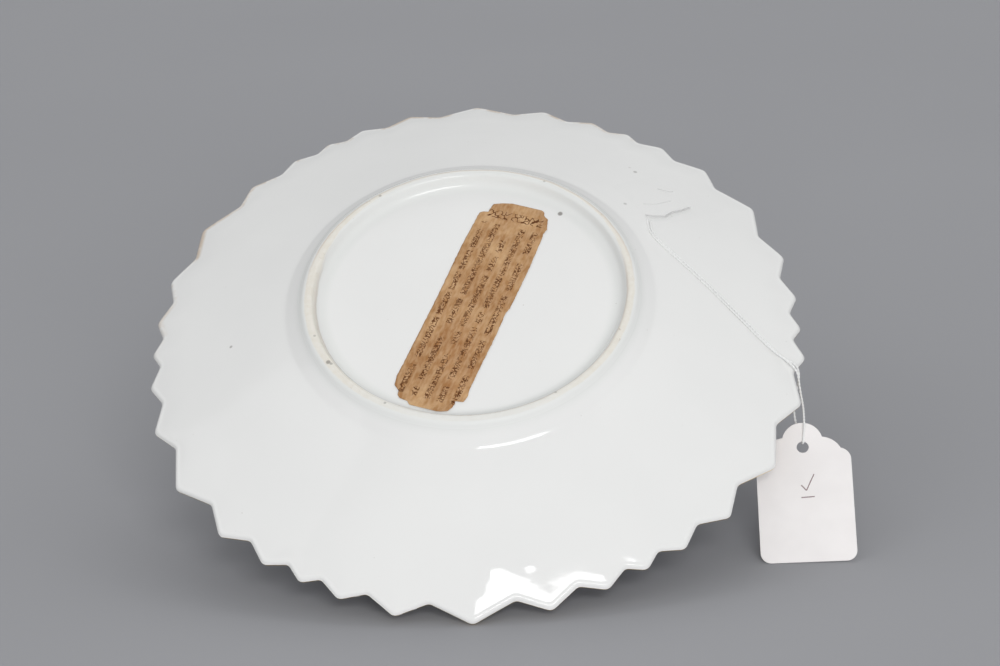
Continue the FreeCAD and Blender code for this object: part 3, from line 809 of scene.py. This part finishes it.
def wiped_ring(tree, x, u, radius, is_back):
    """Where the foot ring's top is wiped bare of glaze, and a brown line where the glaze stops, drawn
    only on the edges that turn away from the view: glaze seam and painted shade together.
    """
    ragged = times(tree, minus(tree, grain(tree, 160.0, 3.0), 0.5), 0.0009)
    wipe = plus(tree, radius, ragged)
    inner_edge = plus(tree, 0.0537, times(tree, calc(tree, "MINIMUM", x, 0.0), 0.024),
                      between(tree, u, 0.0, 0.042, 0.0, 0.0014))
    past_edge = minus(tree, wipe, inner_edge)
    bare = times(tree, between(tree, past_edge, -0.0003, 0.0003),
                 between(tree, wipe, 0.0556, 0.0563, 1.0, 0.0), is_back)

    # The brown line goes on the near half's inner edge and the far half's outer edge only, where the
    # ring turns away from the view: glaze seam with painted shade
    near_side = between(tree, u, 0.0, 0.025, 1.0, 0.0)
    far_side = between(tree, u, 0.0, 0.025)
    inner_seam_and_shade = times(tree, in_band(tree, past_edge, -0.0005, 0.0001, 0.0002), near_side)
    outer_seam_and_shade = times(tree, in_band(tree, wipe, 0.0556, 0.0562, 0.0002), far_side)
    seam_and_shade = times(tree, largest(tree, inner_seam_and_shade, outer_seam_and_shade), is_back, 0.40)
    return bare, seam_and_shade


def clay_colour(tree):
    """Cream unglazed clay with dirt rubbed into it."""
    clay = mix(tree, between(tree, grain(tree, 500.0, 4.0), 0.35, 0.7),
               (0.765, 0.738, 0.675), (0.735, 0.700, 0.625))
    dirt = between(tree, grain(tree, 330.0, 5.0, roughness=0.7), 0.62, 0.72)
    return mix(tree, times(tree, dirt, 0.6), clay, (0.36, 0.29, 0.21))


def worn_edge(tree, x, u, inset, is_face):
    """Traces of worn gilt along the far left edge."""
    worn = between(tree, grain(tree, 60.0, 4.0, roughness=0.7), 0.42, 0.60)
    at_edge = between(tree, inset, 0.0010, 0.0026, 1.0, 0.0)
    far_left = between(tree, minus(tree, u, times(tree, x, 0.5)), 0.045, 0.095)
    return times(tree, at_edge, worn, far_left, minus(tree, 1.0, is_face), 0.70)


def blue_border(tree, inset, is_face, under):
    """The face's plain blue border, painted over what is under it."""
    border = times(tree, in_band(tree, inset, 0.0042, 0.0225, 0.0002), is_face)
    depth = between(tree, grain(tree, 45.0, 4.0), 0.3, 0.7)
    blue = mix(tree, depth, (0.010, 0.022, 0.125), (0.016, 0.036, 0.185))
    return mix(tree, border, under, blue)


def gilt_lines(tree, radius, inset, is_face):
    """Thin rubbed gilt lines beside the blue border, round the well and at the edge."""
    lines = largest(tree, in_band(tree, inset, 0.0032, 0.0042, 0.0001),
                    in_band(tree, inset, 0.0225, 0.0235, 0.0001),
                    in_band(tree, radius, 0.0500, 0.0507, 0.0001),
                    between(tree, inset, 0.0013, 0.0016, 1.0, 0.0))
    rubbed = between(tree, grain(tree, 180.0, 4.0, roughness=0.75), 0.32, 0.46)
    return times(tree, lines, is_face, rubbed)


def porcelain():
    """White glaze; bare foot ring, grey-green beside it as pooled glaze with painted shade, gilt and
    blue on the face.
    """
    made, tree, shader = new_material("glazed_porcelain", IOR=1.5)
    x, u, _ = stored_place(tree)
    radius = calc(tree, "SQRT", plus(tree, times(tree, x, x), times(tree, u, u)))
    inset = stored_number(tree, "inset")
    side = stored_number(tree, "side")
    is_back = between(tree, side, -0.1, 0.6)
    is_face = between(tree, side, -0.9, -0.5, 1.0, 0.0)

    colour = glaze_colour(tree, radius, is_back)
    bare, seam_and_shade = wiped_ring(tree, x, u, radius, is_back)
    handled = between(tree, calc(tree, "ABSOLUTE", x), 0.015, 0.045, 0.35, 1.0)
    colour = mix(tree, times(tree, bare, handled), colour, clay_colour(tree))
    # Brown line at the glaze's edge: seam colour with painted shade at the ring's turned-away edges
    colour = mix(tree, seam_and_shade, colour, (0.50, 0.38, 0.28))
    for at, size, strength in SPECKS:
        dot = times(tree, spot(tree, x, u, at, size), strength, is_back)
        colour = mix(tree, dot, colour, (0.16, 0.14, 0.12))
    pepper = between(tree, grain(tree, 650.0, 1.0), 0.81, 0.84)
    colour = mix(tree, times(tree, pepper, 0.4), colour, (0.40, 0.37, 0.33))
    colour = mix(tree, worn_edge(tree, x, u, inset, is_face), colour, (0.50, 0.37, 0.25))
    colour = blue_border(tree, inset, is_face, colour)
    gold = gilt_lines(tree, radius, inset, is_face)
    set_colour(tree, shader, mix(tree, gold, colour, (0.83, 0.61, 0.27)))
    tree.links.new(gold, shader.inputs["Metallic"])

    smear = between(tree, grain(tree, 14.0, 4.0), 0.35, 0.75, 0.040, 0.10)
    coves = times(tree, in_band(tree, radius, 0.0475, 0.0585, 0.0015), is_back)
    shoulder = times(tree, in_band(tree, radius, 0.0552, 0.0580, 0.0006), is_back)
    set_roughness(tree, shader, plus(tree, smear, times(tree, bare, 0.55), times(tree, coves, 0.13),
                                     times(tree, shoulder, 0.22), times(tree, gold, 0.16)))
    peel = grain(tree, 160.0, 2.0)
    sand = times(tree, grain(tree, 3500.0, 3.0), bare, 0.9)
    bump(tree, shader, plus(tree, peel, sand), 0.00003)
    return made


# ---------------------------------------------------------------- paper, film, card and cotton

PRINT_PITCH = 0.0047        # from one printed row of the label to the next
PRINT_START = 0.01165       # from the label's middle line to the first row's edge


def line_marks(tree, where, scale, thin, thick):
    """Thin wandering lines, where noise crosses its middle value."""
    off = calc(tree, "ABSOLUTE", minus(tree, grain(tree, scale, 1.0, where), 0.5))
    return between(tree, off, thin, thick, 1.0, 0.0)


def printed_rows(tree, across, up, where):
    """Five rows along the label, each a run of meaningless small marks with gaps."""
    row = calc(tree, "DIVIDE", plus(tree, across, PRINT_START), PRINT_PITCH)
    row_number = calc(tree, "FLOOR", row)
    band = in_band(tree, calc(tree, "FRACT", row), 0.27, 0.73, 0.05)
    marks = line_marks(tree, where, 820.0, 0.045, 0.072)
    seed = joined(tree, up, times(tree, row_number, 0.37))
    words = between(tree, grain(tree, 190.0, 0.0, seed), 0.37, 0.40)
    ends = in_band(tree, up, -0.0430, 0.0365, 0.0004)
    sides = in_band(tree, across, -0.0116, 0.0116, 0.0002)
    faded = between(tree, grain(tree, 260.0, 3.0, where), 0.30, 0.62, 0.70, 1.0)
    return times(tree, band, words, marks, ends, sides, faded)


def pen_scribble(tree, across, up, where):
    """One row of meaningless pen lines across the label's top."""
    marks = line_marks(tree, where, 430.0, 0.028, 0.050)
    return times(tree, marks, in_band(tree, up, 0.0392, 0.0428, 0.0004),
                 in_band(tree, across, -0.0095, 0.0105, 0.0004))


def aged_paper():
    """Brown stained paper with rows of meaningless marks where a label has its print."""
    made, tree, shader = new_material("aged_paper", Roughness=0.82, IOR=1.45)
    across = stored_number(tree, "label_x")
    up = stored_number(tree, "label_y")
    where = joined(tree, across, up)
    stain = between(tree, grain(tree, 70.0, 5.0, where, 0.6), 0.36, 0.66)
    paper = mix(tree, stain, (0.335, 0.160, 0.055), (0.570, 0.350, 0.172))
    foxing = between(tree, grain(tree, 30.0, 4.0, scaled(tree, where, (1.0, 0.6, 1.0))), 0.52, 0.70)
    paper = mix(tree, times(tree, foxing, 0.6), paper, (0.300, 0.115, 0.028))
    middle = times(tree, spot(tree, across, up, (0.002, 0.004), 0.022), 0.40)
    paper = mix(tree, middle, paper, (0.330, 0.150, 0.048))
    fibre = grain(tree, 900.0, 3.0, scaled(tree, where, (1.0, 0.3, 1.0)))
    paper = mix(tree, between(tree, fibre, 0.3, 0.7, 0.0, 0.34), paper, (0.70, 0.50, 0.31))
    ink = largest(tree, printed_rows(tree, across, up, where), pen_scribble(tree, across, up, where))
    set_colour(tree, shader, mix(tree, ink, paper, (0.115, 0.036, 0.006)))
    bump(tree, shader, fibre, 0.00004)
    return made


def clear_tape():
    """Thin clear film that shows only where it is folded; greyer there, partly denser film and partly
    painted shade along the wrinkles.
    """
    made, tree, shader = new_material("clear_tape", Roughness=0.16, IOR=1.46)
    # Greyer, more opaque film along the wrinkles: more layers of film, and painted shade in the creases
    fold_film_and_shade = between(tree, stored_number(tree, "fold"), 0.10, 0.85)
    set_colour(tree, shader, mix(tree, fold_film_and_shade, (0.80, 0.80, 0.79), (0.62, 0.62, 0.61)))
    tree.links.new(plus(tree, 0.004, times(tree, fold_film_and_shade, 0.30)), shader.inputs["Alpha"])
    bump(tree, shader, grain(tree, 260.0, 3.0), 0.00002)
    return made


# Pen strokes on the tag, a tick over a dash: start and end on the card
TAG_STROKES = (((-0.0012, 0.0265), (0.0004, 0.0246)), ((0.0004, 0.0246), (0.0032, 0.0302)),
               ((-0.0014, 0.0222), (0.0030, 0.0224)))


def pen_stroke(tree, x, y, start, end, shake):
    """A thin straight stroke; shake moves it a little to the side."""
    length = math.hypot(end[0] - start[0], end[1] - start[1])
    ex = (end[0] - start[0]) / length
    ey = (end[1] - start[1]) / length
    dx = minus(tree, x, start[0])
    dy = minus(tree, y, start[1])
    along = plus(tree, times(tree, dx, ex), times(tree, dy, ey))
    aside = minus(tree, times(tree, dy, ex), times(tree, dx, ey))
    aside = calc(tree, "ABSOLUTE", plus(tree, aside, shake))
    return times(tree, in_band(tree, along, 0.0, length, 0.0001),
                 between(tree, aside, 0.00012, 0.00026, 1.0, 0.0))


def white_card():
    """Smooth white card with a plain pen tick and dash on its front."""
    made, tree, shader = new_material("white_card", Roughness=0.62, IOR=1.45)
    x, y, z = stored_place(tree)
    cloud = between(tree, grain(tree, 60.0, 3.0), 0.35, 0.7)
    card = mix(tree, cloud, (0.86, 0.83, 0.82), (0.82, 0.79, 0.78))
    shake = times(tree, minus(tree, grain(tree, 900.0, 2.0), 0.5), 0.0002)
    ink = largest(tree, *[pen_stroke(tree, x, y, start, end, shake) for start, end in TAG_STROKES])
    on_front = between(tree, z, 0.0, 0.0001)
    ink = times(tree, ink, on_front, 0.85)
    set_colour(tree, shader, mix(tree, ink, card, (0.16, 0.07, 0.08)))
    bump(tree, shader, grain(tree, 1800.0, 3.0), 0.00002)
    return made


def cotton():
    """Soft white cotton with fine fluff."""
    made, tree, shader = new_material("cotton_thread", Roughness=0.85, Sheen_Weight=0.2, IOR=1.45)
    fluff = grain(tree, 3000.0, 3.0)
    set_colour(tree, shader, mix(tree, fluff, (0.79, 0.79, 0.78), (0.87, 0.87, 0.86)))
    bump(tree, shader, fluff, 0.00008)
    return made


# ---------------------------------------------------------------- the stand's metal and rubber

def powder_coat():
    """Satin black powder coat with a fine orange peel and a little dust."""
    made, tree, shader = new_material("black_powder_coat", IOR=1.5)
    dust = between(tree, grain(tree, 35.0, 5.0), 0.5, 0.8, 0.0, 0.25)
    set_colour(tree, shader, mix(tree, dust, (0.018, 0.018, 0.020), (0.07, 0.07, 0.072)))
    set_roughness(tree, shader, between(tree, grain(tree, 60.0, 4.0), 0.3, 0.7, 0.34, 0.48))
    bump(tree, shader, grain(tree, 1600.0, 2.0), 0.00005)
    return made


def metal(name, bright, dull, rough_low, rough_high):
    """Turned metal: faint tool marks round the x axis and cloudy tarnish."""
    made, tree, shader = new_material(name, Metallic=1.0)
    cloud = between(tree, grain(tree, 90.0, 5.0), 0.35, 0.75)
    set_colour(tree, shader, mix(tree, cloud, bright, dull))
    set_roughness(tree, shader, between(tree, grain(tree, 140.0, 4.0), 0.3, 0.7, rough_low, rough_high))
    where = tree.nodes.new("ShaderNodeTexCoord").outputs["Object"]
    bump(tree, shader, grain(tree, 500.0, 2.0, scaled(tree, where, (8.0, 1.0, 1.0))), 0.000008)
    return made


def rubber():
    """Soft black rubber, matt, with a fine moulded grain and pale dust."""
    made, tree, shader = new_material("black_rubber", IOR=1.5)
    dust = between(tree, grain(tree, 120.0, 5.0), 0.45, 0.8, 0.0, 0.4)
    set_colour(tree, shader, mix(tree, dust, (0.022, 0.022, 0.022), (0.085, 0.083, 0.08)))
    set_roughness(tree, shader, between(tree, grain(tree, 200.0, 3.0), 0.3, 0.7, 0.62, 0.8))
    bump(tree, shader, grain(tree, 2600.0, 2.0), 0.00006)
    return made


def paint(piece, made):
    """Gives a piece its material."""
    piece.data.materials.clear()
    piece.data.materials.append(made)


def dress_stand():
    """Gives every carried-over CAD node the material of its slot in the record."""
    looks = {
        "black_painted_steel": powder_coat(),
        "bright_steel": metal("bright_steel", (0.64, 0.64, 0.65), (0.50, 0.49, 0.48), 0.22, 0.34),
        "turned_brass": metal("turned_brass", (0.80, 0.60, 0.27), (0.58, 0.40, 0.16), 0.16, 0.34),
        "black_rubber": rubber(),
    }
    for part in frame["record"]["subparts"]:
        look = looks.get(part["material_slot"])
        if look:
            node = frame["nodes"][part["node"]]
            for slot in node.material_slots:
                slot.material = look


# ---------------------------------------------------------------- the object

def build_object():
    """The pieces that stand in for CAD nodes: plate, label, tape, tag and thread."""
    plate = make_plate()
    paint(plate, porcelain())
    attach(plate, "plate")
    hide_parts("plate")

    label = make_label()
    paint(label, aged_paper())
    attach(label, "plate")
    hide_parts("paper_label")

    tape = make_tape()
    paint(tape, clear_tape())
    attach(tape, "plate")
    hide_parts("tape_patch")

    tag = make_tag()
    paint(tag, white_card())
    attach(tag, "tag")
    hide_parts("swing_tag")

    route = thread_route()
    line = nurbs_line(route)
    thread = make_thread(line)
    paint(thread, cotton())
    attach(thread, "plate")
    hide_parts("thread")
    dress_stand()


# ---------------------------------------------------------------- stage

CAMERA_AT = (0.05224, -0.8337, 0.36632)
LENS_MM = 92.52


def make_camera():
    """A view from the front and 20 degrees above, with a slight roll."""
    right = Vector((0.9980, 0.0318, -0.0550))
    up = Vector((0.0407, 0.3442, 0.9380))
    ahead = Vector((-0.0488, 0.9384, -0.3422)).normalized()
    right = (right - ahead * right.dot(ahead)).normalized()
    up = right.cross(ahead)
    data = bpy.data.cameras.new("camera")
    data.sensor_width = 36.0
    data.lens = LENS_MM
    data.clip_end = 20.0
    camera = bpy.data.objects.new("camera", data)
    turn = Matrix((right, up, -ahead)).transposed().to_4x4()
    camera.matrix_world = Matrix.Translation(CAMERA_AT) @ turn
    bpy.context.scene.collection.objects.link(camera)
    bpy.context.scene.camera = camera


def area_light(name, azimuth, elevation, distance, size, power, mirrored=True):
    """A soft rectangular light that faces the plate; azimuth 0 is the camera's side, + to +X."""
    target = Vector((0, 0, PLATE_Z))
    a, e = math.radians(azimuth), math.radians(elevation)
    away = Vector((math.sin(a) * math.cos(e), -math.cos(a) * math.cos(e), math.sin(e)))
    data = bpy.data.lights.new(name, "AREA")
    data.shape = "RECTANGLE"
    data.size, data.size_y = size
    data.energy = power
    lamp = bpy.data.objects.new(name, data)
    lamp.visible_glossy = mirrored
    lamp.location = target + away * distance
    lamp.rotation_mode = "QUATERNION"
    lamp.rotation_quaternion = away.to_track_quat("Z", "Y")
    bpy.context.scene.collection.objects.link(lamp)


def make_floor():
    """A plain grey table that runs far back."""
    made, tree, shader = new_material("table_paper", Roughness=0.9)
    tone = between(tree, grain(tree, 3.0, 2.0), 0.3, 0.7)
    set_colour(tree, shader, mix(tree, tone, (0.335, 0.336, 0.352), (0.345, 0.346, 0.362)))
    half = 6.0
    mesh = bpy.data.meshes.new("table")
    corners = [(-half, -half, 0), (half, -half, 0), (half, half, 0), (-half, half, 0)]
    mesh.from_pydata(corners, [], [(0, 1, 2, 3)])
    mesh.materials.append(made)
    table = bpy.data.objects.new("table", mesh)
    bpy.context.scene.collection.objects.link(table)


def make_light():
    """Soft boxes all round in a dim even room; mirrored ones also show as highlights."""
    world = bpy.data.worlds.new("studio")
    world.use_nodes = True
    background = world.node_tree.nodes["Background"]
    background.inputs["Color"].default_value = (0.96, 0.98, 1.0, 1.0)
    background.inputs["Strength"].default_value = 0.40
    bpy.context.scene.world = world
    area_light("back_box", 180, 50, 1.7, (1.4, 0.8), 7.2, mirrored=False)
    area_light("back_left", -130, 45, 1.7, (1.0, 0.8), 1.2, mirrored=False)
    area_light("back_right", 130, 45, 1.7, (1.0, 0.8), 1.0, mirrored=False)
    area_light("left_box", -70, 38, 1.6, (1.0, 1.0), 1.4)
    area_light("right_box", 75, 40, 1.6, (1.0, 1.0), 0.5)
    area_light("low_box", 10, 14, 3.2, (2.4, 0.6), 48.0, mirrored=False)
    area_light("front_box", 14, 35, 1.7, (0.70, 0.36), 6.0)
    bpy.context.scene.view_settings.view_transform = "Standard"


build_object()
make_camera()
make_floor()
make_light()
